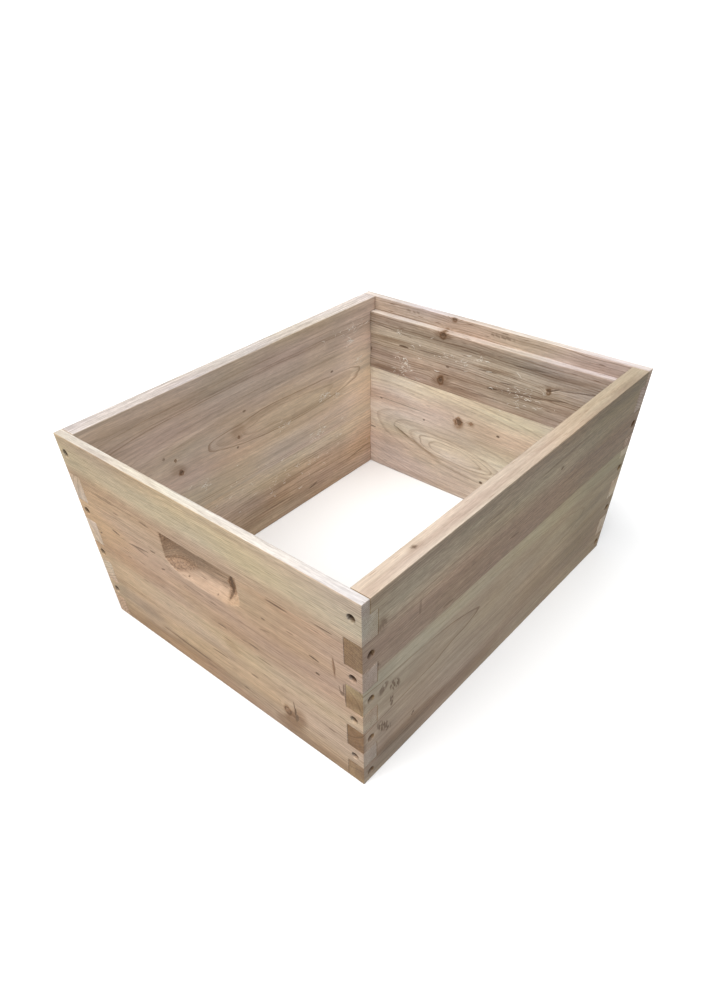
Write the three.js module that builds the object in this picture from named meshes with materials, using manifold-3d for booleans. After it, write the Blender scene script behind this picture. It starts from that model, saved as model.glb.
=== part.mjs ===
// A deep Langstroth hive body: an open wooden box that holds ten hanging frames.
// Millimetres, +Z up. The origin is the centre of the footprint, on the plane that the box stands on.
// The front end board faces -Y and the back end board +Y. The long side boards face -X and +X.
// Each board is two planks glued edge to edge. Finger joints and recessed screws hold the corners.
import * as THREE from 'three';
import { mergeVertices } from 'three/addons/utils/BufferGeometryUtils.js';
import Module from 'manifold-3d';

const wasm = await Module();
wasm.setup();

// Outer size of the box.
const boxLength = 505;
const boxWidth = 413;
const boxHeight = 244.5;
const boardThickness = 20;

// Frame rest: a rabbet along the inner top edge of each end board, where the frames' lugs hang.
const restDepth = 16.5;
const lipThickness = 10;
// The side boards' tabs close the rest's ends and are let into the ledge by this much.
const tabLetIn = 0.5;

// Corner fingers, from the bottom up. The side boards own the lowest finger, the end boards the top one.
const lowestFinger = 28;
const endFinger = 25.4;
const sideFinger = 31.75;
const fingerPairs = 4;
const jointGap = 0.2;

// Glue seam between the two planks of each board, as a height.
const seamHeights = { front: 190.5, back: 153, right: 155, left: 88 };
const seamGap = 0.1;

// Hand hold: a scoop cut in each end board by a round cutter that stands upright and moves sideways.
const holdTop = 190.5;
const holdBackLow = 158;
const holdBottom = 148;
const holdDepth = 11;
const holdCutterRadius = 30;
const holdTravel = 32.8;

// Countersunk wood screws, one in each finger, with their heads sunk in counterbored holes.
const screwInset = 11;
const topScrewHeight = 224.8;
const headRecess = 7;
const counterboreRadius = 4.35;
const headRadius = 3.9;
const headRim = 0.5;
const headHeight = 2.9;
const shankRadius = 1.75;
const screwLength = 42;
const tipLength = 5;
const boreClearance = 0.3;
const driveSlotLength = 4.4;
const driveSlotWidth = 0.9;
const driveSlotDepth = 1.5;

const cutterSegments = 48;
const boreSegments = 12;
const screwSegments = 12;
const overcut = 5;

const ledgeHeight = boxHeight - restDepth;

// --- Solids -------------------------------------------------------------------------------------

/** A three.js geometry as a manifold solid, with shared corners merged and flat triangles dropped. */
function solidFrom(geometry) {
  const bare = geometry.index ? geometry.toNonIndexed() : geometry.clone();
  bare.deleteAttribute('normal');
  bare.deleteAttribute('uv');
  const merged = mergeVertices(bare, 1e-4);
  const corners = merged.index.array;
  const kept = [];
  for (let i = 0; i < corners.length; i += 3) {
    const [a, b, c] = corners.slice(i, i + 3);
    if (a !== b && b !== c && c !== a) kept.push(a, b, c);
  }
  return new wasm.Manifold(new wasm.Mesh({
    numProp: 3,
    vertProperties: Float32Array.from(merged.attributes.position.array),
    triVerts: Uint32Array.from(kept),
  }));
}

/** A manifold solid as a three.js geometry. */
function geometryFrom(solid) {
  const mesh = solid.getMesh();
  const geometry = new THREE.BufferGeometry();
  geometry.setAttribute('position', new THREE.BufferAttribute(mesh.vertProperties, 3));
  geometry.setIndex(new THREE.BufferAttribute(mesh.triVerts, 1));
  geometry.computeVertexNormals();
  return geometry;
}

/** A box given by its lowest and highest corners. */
function boxBetween(low, high) {
  const size = high.map((value, axis) => value - low[axis]);
  const centre = high.map((value, axis) => (value + low[axis]) / 2);
  return new THREE.BoxGeometry(...size).translate(...centre);
}

/** A body turned about the local Y axis. The profile is [radius, y] pairs, in rising y. */
function turned(profile, segments) {
  const points = profile.map(([radius, y]) => new THREE.Vector2(radius, y));
  return new THREE.LatheGeometry(points, segments);
}

// --- Corner fingers -----------------------------------------------------------------------------

/** The fingers of one corner from the bottom up, each with its owner and its lowest and highest point. */
function cornerFingers() {
  const fingers = [];
  let height = 0;
  for (let pair = 0; pair < fingerPairs; pair += 1) {
    const sideTop = height + (pair === 0 ? lowestFinger : sideFinger);
    const endTop = pair === fingerPairs - 1 ? boxHeight : sideTop + endFinger;
    fingers.push({ owner: 'side', low: height, high: sideTop });
    fingers.push({ owner: 'end', low: sideTop, high: endTop });
    height = endTop;
  }
  return fingers;
}

const fingers = cornerFingers();

/** How far in a board's end lies, step by step from the bottom up: 0 on its own fingers. */
function endSteps(kind) {
  const depth = boardThickness + jointGap;
  const steps = [];
  for (const { owner, low, high } of fingers) {
    const own = owner === kind;
    const gap = own ? -jointGap / 2 : jointGap / 2;
    const from = low === 0 ? 0 : low - gap;
    const to = high === boxHeight ? boxHeight : high + gap;
    if (kind === 'side' && high === boxHeight) {
      // Above the ledge the end board is only its lip, so a tab of the side board stands behind it.
      const tabFoot = ledgeHeight - tabLetIn + jointGap;
      steps.push({ low: from, high: tabFoot, depth });
      steps.push({ low: tabFoot, high: to, depth: lipThickness + jointGap });
    } else {
      steps.push({ low: from, high: to, depth: own ? 0 : depth });
    }
  }
  return steps;
}

/** Screw heights on a board: the middle of each of its own fingers, and lower on the one by the rest. */
function screwHeights(kind) {
  const own = fingers.filter(({ owner }) => owner === kind);
  return own.map(({ low, high }) => (high === boxHeight ? topScrewHeight : (low + high) / 2));
}

// --- Boards -------------------------------------------------------------------------------------
// A board's own frame: its outer face is the plane y = 0 and faces -Y, its length runs along X.

/** The flat blank of a board, notched at both ends. */
function boardBlank(kind, half) {
  const right = endSteps(kind).flatMap(({ low, high, depth }) => [[half - depth, low], [half - depth, high]]);
  const left = right.map(([x, z]) => [-x, z]).reverse();
  const shape = new THREE.Shape([...right, ...left].map(([x, z]) => new THREE.Vector2(x, z)));
  const blank = new THREE.ExtrudeGeometry(shape, { depth: boardThickness, bevelEnabled: false });
  return solidFrom(blank.rotateX(Math.PI / 2).translate(0, boardThickness, 0));
}

/** The frame rest's rabbet from end to end of the board, a little deeper under the side boards' tabs. */
function restCutter(half) {
  const back = boardThickness + overcut;
  const top = boxHeight + overcut;
  const tabStart = half - boardThickness - jointGap;
  const tabFloor = ledgeHeight - tabLetIn;
  const ledge = boxBetween([-half - overcut, lipThickness, ledgeHeight], [half + overcut, back, top]);
  const right = boxBetween([tabStart, lipThickness, tabFloor], [half + overcut, back, top]);
  const left = boxBetween([-half - overcut, lipThickness, tabFloor], [-tabStart, back, top]);
  return solidFrom(ledge).add(solidFrom(right)).add(solidFrom(left));
}

/** The space that the hand hold's cutter sweeps: straight below the lip, then a slope out to the face. */
function holdCutter() {
  const slope = (holdBackLow - holdBottom) / holdDepth;
  const apex = holdBackLow - slope * holdCutterRadius;
  const half = [[0, apex], [holdCutterRadius, holdBackLow], [holdCutterRadius, holdTop], [0, holdTop]];
  const round = turned(half, cutterSegments).rotateX(Math.PI / 2);
  const outline = new THREE.Shape([
    new THREE.Vector2(0, apex),
    new THREE.Vector2(holdCutterRadius, holdBackLow),
    new THREE.Vector2(holdCutterRadius, holdTop),
    new THREE.Vector2(-holdCutterRadius, holdTop),
    new THREE.Vector2(-holdCutterRadius, holdBackLow),
  ]);
  const travel = new THREE.ExtrudeGeometry(outline, { depth: 2 * holdTravel, bevelEnabled: false });
  travel.rotateX(Math.PI / 2).rotateZ(Math.PI / 2).translate(-holdTravel, 0, 0);
  return solidFrom(travel)
    .add(solidFrom(round.clone().translate(-holdTravel, 0, 0)))
    .add(solidFrom(round.clone().translate(holdTravel, 0, 0)))
    .translate([0, holdDepth - holdCutterRadius, 0]);
}

/** A screw's hole along Y from the face: counterbore, countersink and pilot. */
function boreGeometry() {
  const pilot = shankRadius + boreClearance;
  const tip = headRecess + screwLength + boreClearance;
  return turned([
    [0, -overcut],
    [counterboreRadius, -overcut],
    [counterboreRadius, headRecess + headRim],
    [pilot, headRecess + headHeight],
    [pilot, tip - tipLength],
    [0, tip],
  ], boreSegments);
}

/** Both ends' holes on a board: its own screws', and those of the boards that it meets. */
function boreCutters(kind, half) {
  const other = kind === 'end' ? 'side' : 'end';
  const bores = [];
  for (const end of [-1, 1]) {
    for (const height of screwHeights(kind)) {
      bores.push(boreGeometry().translate(end * (half - screwInset), 0, height));
    }
    for (const height of screwHeights(other)) {
      bores.push(boreGeometry().rotateZ(end * Math.PI / 2).translate(end * half, screwInset, height));
    }
  }
  return bores.map(solidFrom);
}

/** The whole board, before it is parted at its seam. */
function boardSolid(kind, half) {
  let board = boardBlank(kind, half);
  if (kind === 'end') {
    board = board.subtract(restCutter(half)).subtract(holdCutter());
  }
  for (const bore of boreCutters(kind, half)) {
    board = board.subtract(bore);
  }
  return board;
}

/** The part of a board between two heights. */
function plankSolid(board, half, low, high) {
  const slab = boxBetween([-half - overcut, -overcut, low], [half + overcut, boardThickness + overcut, high]);
  return board.intersect(solidFrom(slab));
}

// --- Screws -------------------------------------------------------------------------------------

/** A countersunk screw along Y with its head's flat towards -Y, and a cross slot in the head. */
function screwGeometry() {
  const shape = turned([
    [0, headRecess],
    [headRadius, headRecess],
    [headRadius, headRecess + headRim],
    [shankRadius, headRecess + headHeight],
    [shankRadius, headRecess + screwLength - tipLength],
    [0, headRecess + screwLength],
  ], screwSegments);
  const reach = driveSlotLength / 2;
  const side = driveSlotWidth / 2;
  const floor = headRecess + driveSlotDepth;
  const across = boxBetween([-reach, 0, -side], [reach, floor, side]);
  const upright = boxBetween([-side, 0, -reach], [side, floor, reach]);
  return geometryFrom(solidFrom(shape).subtract(solidFrom(across)).subtract(solidFrom(upright)));
}

// --- Materials ----------------------------------------------------------------------------------

const plankColours = {
  front: { upper: 0xcbbd98, lower: 0xc3a587 },
  back: { upper: 0x96826e, lower: 0xc8b296 },
  right: { upper: 0x8a7f70, lower: 0x9a8c7c },
  left: { upper: 0x9b8c7a, lower: 0x8f7f72 },
};

function woodMaterial(colour) {
  return new THREE.MeshStandardMaterial({ color: colour, roughness: 0.72, metalness: 0 });
}

function screwMaterial() {
  return new THREE.MeshStandardMaterial({ color: 0x9a8f6a, roughness: 0.4, metalness: 1 });
}

// --- Assembly -----------------------------------------------------------------------------------

/** The boards' places. Each names the corner at its own -X end, then the one at its +X end. */
const places = [
  { name: 'front', kind: 'end', at: [0, -boxLength / 2], turn: 0, ends: ['left', 'right'] },
  { name: 'back', kind: 'end', at: [0, boxLength / 2], turn: Math.PI, ends: ['right', 'left'] },
  { name: 'right', kind: 'side', at: [boxWidth / 2, 0], turn: Math.PI / 2, ends: ['front', 'back'] },
  { name: 'left', kind: 'side', at: [-boxWidth / 2, 0], turn: -Math.PI / 2, ends: ['back', 'front'] },
];

function namedMesh(name, geometry, material) {
  const mesh = new THREE.Mesh(geometry, material);
  mesh.name = name;
  return mesh;
}

/** One board's two planks and its eight screws, in a group at the board's place. */
function boardGroup({ name, kind, at, turn, ends }) {
  const half = (kind === 'end' ? boxWidth : boxLength) / 2;
  const board = boardSolid(kind, half);
  const seam = seamHeights[name];
  const upper = plankSolid(board, half, seam + seamGap / 2, boxHeight + overcut);
  const lower = plankSolid(board, half, -overcut, seam - seamGap / 2);
  const group = new THREE.Group();
  const colours = plankColours[name];
  group.add(namedMesh(`${name}_upper_plank`, geometryFrom(upper), woodMaterial(colours.upper)));
  group.add(namedMesh(`${name}_lower_plank`, geometryFrom(lower), woodMaterial(colours.lower)));
  ends.forEach((end, index) => {
    const x = (index === 0 ? -1 : 1) * (half - screwInset);
    screwHeights(kind).forEach((height, level) => {
      const screw = namedMesh(`screw_${name}_${end}_${level + 1}`, screwGeometry(), screwMaterial());
      screw.position.set(x, 0, height);
      group.add(screw);
    });
  });
  group.position.set(at[0], at[1], 0);
  group.rotation.z = turn;
  return group;
}

const hiveBody = new THREE.Group();
hiveBody.name = 'hive_body';
for (const place of places) {
  hiveBody.add(boardGroup(place));
}

export default hiveBody;
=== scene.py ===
import itertools
import math
import random

import bmesh
import bpy
import numpy as np
from mathutils import Matrix, Vector
from mathutils.geometry import delaunay_2d_cdt


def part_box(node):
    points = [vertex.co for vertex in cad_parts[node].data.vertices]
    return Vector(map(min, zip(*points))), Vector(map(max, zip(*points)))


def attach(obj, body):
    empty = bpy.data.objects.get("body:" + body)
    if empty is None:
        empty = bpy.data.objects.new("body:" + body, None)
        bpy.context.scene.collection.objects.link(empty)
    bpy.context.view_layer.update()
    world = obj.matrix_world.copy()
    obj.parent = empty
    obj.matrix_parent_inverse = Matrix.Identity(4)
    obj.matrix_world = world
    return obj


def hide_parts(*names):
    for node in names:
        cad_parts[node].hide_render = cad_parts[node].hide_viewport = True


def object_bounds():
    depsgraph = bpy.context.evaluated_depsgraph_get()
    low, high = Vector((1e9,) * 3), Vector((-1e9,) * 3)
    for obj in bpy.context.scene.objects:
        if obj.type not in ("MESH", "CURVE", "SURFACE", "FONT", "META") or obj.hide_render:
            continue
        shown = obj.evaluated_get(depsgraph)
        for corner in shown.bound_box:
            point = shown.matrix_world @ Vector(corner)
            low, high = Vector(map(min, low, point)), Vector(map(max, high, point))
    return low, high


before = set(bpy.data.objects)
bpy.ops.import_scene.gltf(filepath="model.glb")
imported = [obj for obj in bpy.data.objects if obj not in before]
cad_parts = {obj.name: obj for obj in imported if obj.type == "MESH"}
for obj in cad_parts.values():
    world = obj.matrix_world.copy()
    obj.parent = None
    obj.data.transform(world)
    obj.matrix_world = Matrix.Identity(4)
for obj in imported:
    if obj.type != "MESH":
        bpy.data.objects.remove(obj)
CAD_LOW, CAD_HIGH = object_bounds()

MM = 0.001

# Camera: where it looks from and to, its roll, and the framing of a 705 by 1000 picture.
AZIMUTH = 42.81
ELEVATION = 48.16
ROLL = -2.39
AIM = Vector((0.0813, -0.1361, -0.0166))
DISTANCE = 0.782
LENS = 23.27
SHIFT = (0.0057, 0.171)

# Sizes that the planks share with the CAD, in millimetres.
THICKNESS = 20
LIP = 10
LEDGE = 228
HOLD_TOP = 190.6
HOLD_BOTTOM = 147
HOLD_REACH = 64
COUNTERBORE = 4.35
BORE_SIDES = 12

# Mesh density: distances between points in millimetres, the face and the triangle too small to count
# in square millimetres, and the angle from which an edge is shaded sharp.
EDGE_STEP = 1.6
SHORT_STEP = 0.6
SHORT_EDGE = 2.4
FACE_STEP = 2.4
HIDDEN_STEP = 6.0
HOLD_STEP = 0.9
FINE_STEP = 0.65
SMALL_FACE = 30
SLIVER = 0.0005
SMOOTH_ANGLE = math.radians(58)

# Wear: how far a sharp edge is rounded in, how deep a chip goes, how far in lies the ring of points
# that holds the rounding, and from which angles an edge is sharp or still part of a curve.
EDGE_WEAR = 0.27
SEAM_WEAR = 0.12
CHIP = 0.8
RING_INSET = 0.65
SHARP_ANGLE = math.radians(35)
CURVED_ANGLE = math.radians(17)


# --- Noise --------------------------------------------------------------------------------------

def random_lattice(cells, seed):
    """A random value between -1 and 1 for each whole-number cell, the same on every run."""
    mixed = cells[:, 0] * 73856093 ^ cells[:, 1] * 19349663 ^ cells[:, 2] * 83492791 ^ seed * 2654435
    mixed = (mixed ^ (mixed >> 13)) * 1274126177 & 0x7FFFFFFF
    mixed = (mixed ^ (mixed >> 11)) * 668265263 & 0x7FFFFFFF
    return mixed / 0x3FFFFFFF - 1


def noise(points, lengths, seed):
    """Smooth noise between -1 and 1, whose bumps are about this long in each direction."""
    scaled = points / np.asarray(lengths, float) + 0.37
    cells = np.floor(scaled).astype(np.int64)
    part = scaled - cells
    blend = part * part * (3 - 2 * part)
    total = np.zeros(len(points))
    for corner in itertools.product((0, 1), repeat=3):
        weight = np.prod(np.where(corner, blend, 1 - blend), axis=1)
        total += weight * random_lattice(cells + corner, seed)
    return total


def layered_noise(points, lengths, seed, layers=3):
    """Noise with finer noise on it, each layer half as long and half as strong."""
    lengths = np.asarray(lengths, float)
    return sum(noise(points, lengths / 2**n, seed + n) / 2**n for n in range(layers)) / 1.5


def smooth(value, low, high):
    """0 below low, 1 above high, and a smooth rise between."""
    part = np.clip((value - low) / (high - low), 0, 1)
    return part * part * (3 - 2 * part)


def linked(name, data):
    """A new object in the scene."""
    made = bpy.data.objects.new(name, data)
    bpy.context.scene.collection.objects.link(made)
    return made


def mesh_from(made, name):
    """A mesh with what was built in this bmesh, which is freed."""
    mesh = bpy.data.meshes.new(name)
    made.to_mesh(mesh)
    made.free()
    return mesh


# --- Boards and their figure --------------------------------------------------------------------

class Board:
    """How a board lies: the axis along it, the axis through it, and the place of its outer face."""

    def __init__(self, name, along, side):
        self.name = name
        self.along = along
        self.across = 1 - along
        self.side = side
        self.outer = (CAD_HIGH if side > 0 else CAD_LOW)[self.across] / MM

    def local(self, points):
        """Points as distances along the board, in from its outer face, and up."""
        depth = abs(points[:, self.across] - self.outer)
        return np.stack([points[:, self.along], depth, points[:, 2]], axis=1)

    def inner(self, local):
        """Which points lie on the inner side, the frame rest's lip included."""
        behind_lip = (local[:, 1] > LIP - 1) & (local[:, 2] > LEDGE + 0.3)
        return (local[:, 1] > LIP + 2) | behind_lip


BOARDS = [Board("front", 0, -1), Board("back", 0, 1), Board("right", 1, 1), Board("left", 1, -1)]

# Each plank's wood. bands: height, tone from dark 0 to pale 1, hue from pink 0 to green 1.
# pith: how deep and how high the tree's middle runs, how it slopes and bows, and where the bow turns.
# flecks, hatches and stains: along, height, half length, half height, strength and tilt
# in degrees. stains are brown marks in the wood, but in the hand hold they are mostly
# painted shade of the recess. shades: the same, with how much paler or darker they make the wood; they
# are partly the wood's tone and partly painted light and shade: paler in the back left inner corner and
# darker in the hand hold. knots: along, height, radius and how dark the heart is. Each shows on the side
# that is named: "hold" is the hand hold's own surface, "top" the upward edge, with depth for height, and
# "end" every side. gap, line and even are the distance between growth lines, their strength and how
# alike they are, and bold lists single darker ones: the ring's distance from the pith and its strength.
# flecked is how dark the small flecks are. cut and rim tint the end grain and the upward edges, and far
# the end of the plank at the back or the right of the box; rim makes the upward edges paler, partly as
# freshly cut wood and partly as painted light from above. grain scales the contrast of the fine
# streaks, edge the same on the upward edges, and warmth that of the warm and cool patches.
LOOKS = {
    "front_upper": {
        "dark": (0.445, 0.316, 0.201), "pale": (0.643, 0.489, 0.318),
        "bands": [(191, 0.3, 0.0), (196, 0.36, 0.05), (203, 0.55, 0.4), (214, 0.95, 1.0),
            (227, 0.8, 0.9), (236, 0.5, 0.7), (244, 0.42, 0.6)],
        "pith": {"depth": 46, "height": -60, "slope": 0.0, "bow": 0.4, "turn": 40}, "flecked": 0.5,
        "gap": 2.1, "line": 0.55, "even": 0.5, "bold": [], "grain": 1.15, "cut": (0.71, 0.75, 0.84),
        "rim": (1.17, 1.38, 1.77), "far": (0.98, 1.03, 1.17),
        "outer": {
            "shades": [(60, 236, 170, 16, 0.13, 0), (-178, 206, 34, 26, -0.15, 0),
                (15, 194, 90, 8, -0.08, 0)],
            "flecks": [(-145, 191, 15, 0.8, 0.5, 0), (108.5, 191, 15, 0.8, 0.5, 0),
                (164, 193.8, 11, 0.8, 0.9, 1)],
        },
        "inner": {
            "flecks": [(-90, 203, 12, 0.9, 0.8, 0), (54, 216, 9, 0.8, 0.7, 2)],
        },
    },
    "front_lower": {
        "dark": (0.423, 0.288, 0.178), "pale": (0.618, 0.444, 0.287),
        "bands": [(0, 0.1, 0.5), (20, 0.18, 0.5), (31, 0.52, 0.6), (55, 0.6, 0.6), (68, 0.62, 0.6),
            (76, 0.88, 0.7), (94, 0.86, 0.7), (101, 0.55, 0.25), (116, 0.42, 0.1), (140, 0.52, 0.15),
            (165, 0.62, 0.3), (190, 0.48, 0.2)],
        "pith": {"depth": 58, "height": -22, "slope": 0.03, "bow": 1.2, "turn": -30}, "flecked": 0.8,
        "gap": 2.7, "line": 0.46, "even": 0.3, "grain": 1.15,
        "bold": [(106.9, 0.5), (103.8, 0.5), (78.6, 0.6)], "cut": (0.73, 0.79, 0.86),
        "rim": (1.1, 1.15, 1.25), "far": (0.985, 1.02, 1.15),
        "outer": {
            "flecks": [(-145, 188.4, 15, 0.8, 0.6, 0), (-79, 188.2, 9, 0.8, 0.8, -2),
                (108.5, 187.8, 15, 0.9, 0.9, 0), (-145, 148.8, 7, 1.2, 0.9, -9),
                (-105, 147, 20, 1.1, 0.8, 8), (-78, 155, 5, 1.0, 0.9, 6), (-66.5, 138, 4, 0.9, 1.0, 18),
                (150, 149, 7, 1.1, 1.0, -6), (153, 131, 3, 1.2, 1.0, 0), (87, 159, 3, 1.0, 0.9, 0),
                (18.5, 108.5, 7, 0.9, 0.9, 0), (65, 108.5, 8, 0.9, 0.9, 0), (78.5, 96, 12, 0.8, 0.7, 0),
                (2.5, 57, 14, 0.9, 0.9, 3), (57, 58.5, 6, 0.9, 0.8, 4), (-100, 31, 5, 0.9, 0.8, 0),
                (-50, 28.5, 32, 1.3, 0.7, -2), (38.5, 25.5, 5, 1.0, 0.8, 5), (87, 144, 8, 0.8, 0.5, 14),
                (-22, 137, 24, 0.7, 0.5, -3), (-102, 143.5, 14, 0.8, 0.7, -9),
                (-181, 132, 3, 1.0, 0.9, 30), (-120, 194, 9, 0.7, 0.6, 0), (12, 135, 5, 0.8, 0.6, -4),
                (-112, 98.5, 6, 0.7, 0.6, 0), (166, 57.5, 5, 0.9, 0.6, 0), (122, 163, 5, 0.7, 0.6, 0),
                (30, 117, 9, 0.6, 0.4, 0), (-20, 21, 9, 0.8, 0.6, 3), (114.2, 53, 0.8, 7, 0.9, 3),
                (114.9, 44, 1.5, 6, 1.0, -6), (116.2, 35, 2.6, 6, 0.8, -12),
                (99.4, 39.5, 1.0, 3.4, 0.8, -16), (107.4, 37, 1.1, 3.4, 0.9, -14),
                (102.6, 42.6, 3.4, 0.8, 0.8, 12), (103, 33.4, 3.4, 0.8, 0.7, 8),
                (184.6, 131, 1.0, 8, 0.9, 0), (182.2, 125.5, 2.6, 2.6, 0.8, 0),
                (179.8, 130, 0.9, 4, 0.6, 14), (186.4, 121, 0.9, 4, 0.8, 0),
                (-138, 189.2, 58, 0.5, 0.6, 0.3), (-108, 159.8, 20, 0.5, 0.5, 0),
                (174.2, 160, 0.7, 6, 0.5, 8), (175, 151, 0.7, 5, 0.5, -10),
                (-62, 30, 48, 0.9, 0.8, -1.6)],
            "shades": [(-125, 113, 56, 12, 0.16, 0), (40, 112, 120, 13, -0.09, 0),
                (-184, 70, 24, 100, -0.1, 0), (-146, 44, 80, 20, -0.19, 0), (90, 68, 90, 16, 0.09, 0),
                (140, 50, 40, 16, 0.08, 0), (-22, 10, 140, 15, 0.27, 0), (20, 50, 80, 12, 0.06, 0),
                (-126, 43, 32, 16, -0.12, 0)],
            "stains": [(113, 30, 26, 14, 0.9, 58), (104, 14, 24, 12, 0.7, 6),
                (107, 21, 17, 12, 0.5, 30), (-120, 113, 60, 12, 0.3, 0), (28, 84, 10, 14, 0.35, 60),
                (-70, 8, 150, 19, 0.6, 1), (174, 154, 1.5, 13, 0.9, 4), (-40, 29, 70, 5, 0.5, -2),
                (150, 6, 60, 10, 0.5, 0)],
            "knots": [(103.5, 38, 4.4, 0.0)],
        },
        "inner": {
            "flecks": [(-60, 120, 12, 0.9, 0.8, 2), (120, 84, 16, 0.9, 0.8, 0),
                (10, 150, 7, 1, 0.8, 0)],
            "stains": [(-110, 40, 50, 10, 0.5, 2)], "knots": [(62, 66, 5, 0.7)],
        },
        # In the hand hold, the shades and most stains are painted shade of the recess: darker under the
        # lip, over its left end and on the left of its slope. The knot and marks near 36 along are a burn
        # mark.
        "hold": {
            "shades": [(-24, 155.5, 72, 6.5, -0.17, 7), (-18, 169.5, 50, 8, -0.14, 0),
                (-60, 172, 14, 22, -0.1, 0)],
            "stains": [(-62, 162.5, 100, 14, 0.45, 8), (-62, 184, 56, 18, 0.62, 6),
                (-50, 154.5, 42, 8, 0.72, 12), (-4, 172, 46, 9, 0.15, 5), (0, 186, 90, 14.4, 0.45, 0),
                (0, 160, 90, 30, 0.12, 0), (37, 165, 6.5, 15, 0.7, -4)],
            "knots": [(35.5, 166, 3.8, 1.0)],
            "flecks": [(35.5, 168, 2.4, 8, 1.0, 0), (36.5, 159, 2.4, 7, 0.8, 0),
                (20, 168, 14, 0.6, 0.8, 4), (26, 162, 8, 0.5, 0.7, 12), (-23, 150.2, 1.3, 0.6, 0.9, 0),
                (20.5, 150.2, 1.3, 0.6, 0.8, 0)],
        },
    },
    "back_upper": {
        "dark": (0.336, 0.252, 0.192), "pale": (0.596, 0.493, 0.418),
        "bands": [(153, 0.3, 0.25), (160, 0.28, 0.2), (168, 0.5, 0.4), (178, 0.42, 0.3),
            (190, 0.66, 0.6), (203, 0.74, 0.7), (214, 0.52, 0.5), (226, 0.36, 0.2), (230, 0.72, 0.3),
            (244, 0.8, 0.3)],
        "pith": {"depth": 44, "height": 96, "slope": 0.02, "bow": 1.6, "turn": -60}, "flecked": 1.0,
        "gap": 2.9, "line": 0.85, "even": 0.3, "bold": [(75, 0.8), (96, 0.9), (108, 0.7), (124, 0.8)],
        "cut": (0.7, 0.67, 0.62), "rim": (1.12, 1.25, 1.4),
        "outer": {
            "flecks": [(-140, 205, 16, 0.9, 0.8, 1), (90, 214, 24, 0.9, 0.7, -2),
                (120, 170, 9, 1, 0.9, 0)],
            "knots": [(128, 196, 4.2, 0.9)],
        },
        "inner": {
            "flecks": [(-126.5, 194.5, 9, 1.2, 1.0, 0), (62, 180, 38, 0.7, 0.8, 4),
                (20, 176, 9, 1.1, 1.0, 5), (150, 205, 40, 0.8, 0.7, 9), (-150, 212, 46, 0.7, 0.6, -5),
                (-186, 178, 4, 1.8, 0.8, 50), (-80, 197, 22, 0.7, 0.7, 2), (10, 196, 16, 0.7, 0.8, 3),
                (40, 188, 12, 0.7, 0.8, 5), (70, 214, 26, 0.7, 0.7, 3), (-20, 213, 15, 0.6, 0.6, 0),
                (-100, 172, 20, 0.7, 0.6, 2), (110, 186, 18, 0.7, 0.7, 8), (-52, 186, 3, 1.2, 0.8, 0),
                (10, 163, 22, 0.6, 0.6, 2), (104, 197, 10, 0.8, 0.9, 24), (20, 237, 20, 0.7, 0.7, 0),
                (-120, 238, 14, 0.7, 0.6, 0)],
            # The pale patch at the left end is painted light in the back left inner corner.
            "shades": [(0, 216, 220, 11, -0.2, 0), (-80, 178, 80, 16, 0.13, 0),
                (0, 155, 210, 6, 0.12, 0), (-150, 195, 44, 10, 0.11, 0), (50, 188, 160, 14, 0.05, 0),
                (-180, 180, 26, 56, 0.2, 0)],
            "stains": [(-62, 224, 16, 5, 0.7, 0), (-61, 166, 17, 8, 0.6, 20),
                (-150, 199, 34, 3, 0.6, 1), (-150, 158, 36, 4, 0.6, 0), (18, 200, 34, 2.6, 0.6, 3),
                (60, 181, 60, 3, 0.5, 5), (120, 214, 46, 3.4, 0.6, 4), (112, 202, 34, 2.6, 0.5, 10),
                (-30, 160, 40, 3, 0.45, 2)],
            "knots": [(-63, 224.5, 3.4, 0.9), (-53, 243, 3.0, 0.6), (-61.5, 165.5, 3.6, 1.0),
                (98.5, 194.5, 2.4, 0.8)],
        },
    },
    "back_lower": {
        "dark": (0.577, 0.439, 0.333), "pale": (0.881, 0.75, 0.622),
        "bands": [(0, 0.46, 0.2), (30, 0.48, 0.25), (52, 0.62, 0.45), (72, 0.76, 0.75), (90, 0.72, 0.6),
            (106, 0.55, 0.25), (120, 0.58, 0.2), (130, 0.7, 0.5), (143, 0.8, 0.9), (153, 0.8, 0.8)],
        "pith": {"depth": 43, "height": 66, "slope": 0.0, "bow": 9.0, "turn": -30, "rise": -0.12},
        "flecked": 0.4, "gap": 4.2, "line": 0.38, "even": 0.1, "grain": 0.8,
        "bold": [(24.4, 0.55), (26.4, 0.65), (28.6, 0.45), (34.5, 0.4), (52, 0.3), (66, 0.3)],
        "cut": (0.6, 0.58, 0.54), "rim": (1.1, 1.15, 1.25),
        "outer": {
            "flecks": [(-120, 96, 14, 0.9, 0.8, 0), (84, 44, 9, 1.0, 0.9, 3),
                (130, 120, 18, 0.8, 0.7, -2)],
            "stains": [(-30, 24, 80, 9, 0.4, 1)], "knots": [(-92, 58, 4, 0.7)],
        },
        "inner": {
            "flecks": [(39, 115.5, 3, 1.2, 1.0, 0), (-85, 101, 2, 1.2, 0.9, 0),
                (-165.5, 111, 3, 0.9, 0.9, 0), (22.5, 38, 3, 1.8, 1.0, 0), (-183, 61, 8, 0.9, 0.8, 0),
                (-120, 112, 60, 0.7, 0.5, 0), (-126, 70.5, 17, 1.0, 0.7, -20)],
            # The pale patches at the left end are painted light in the back left inner corner.
            "shades": [(-180, 80, 28, 130, 0.18, 0), (-150, 110, 40, 14, 0.12, 0),
                (-18, 108, 80, 44, -0.14, 0), (-20, 36, 76, 16, -0.14, 0), (0, 96, 170, 26, -0.08, 0),
                (-86, 36, 28, 12, -0.16, 0), (-150, 12, 80, 14, 0.17, 0), (0, 136, 210, 10, -0.08, 0)],
            "stains": [(-25, 112, 10, 9, 0.55, 0), (-5.5, 119.5, 6, 4, 0.5, 0),
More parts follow.
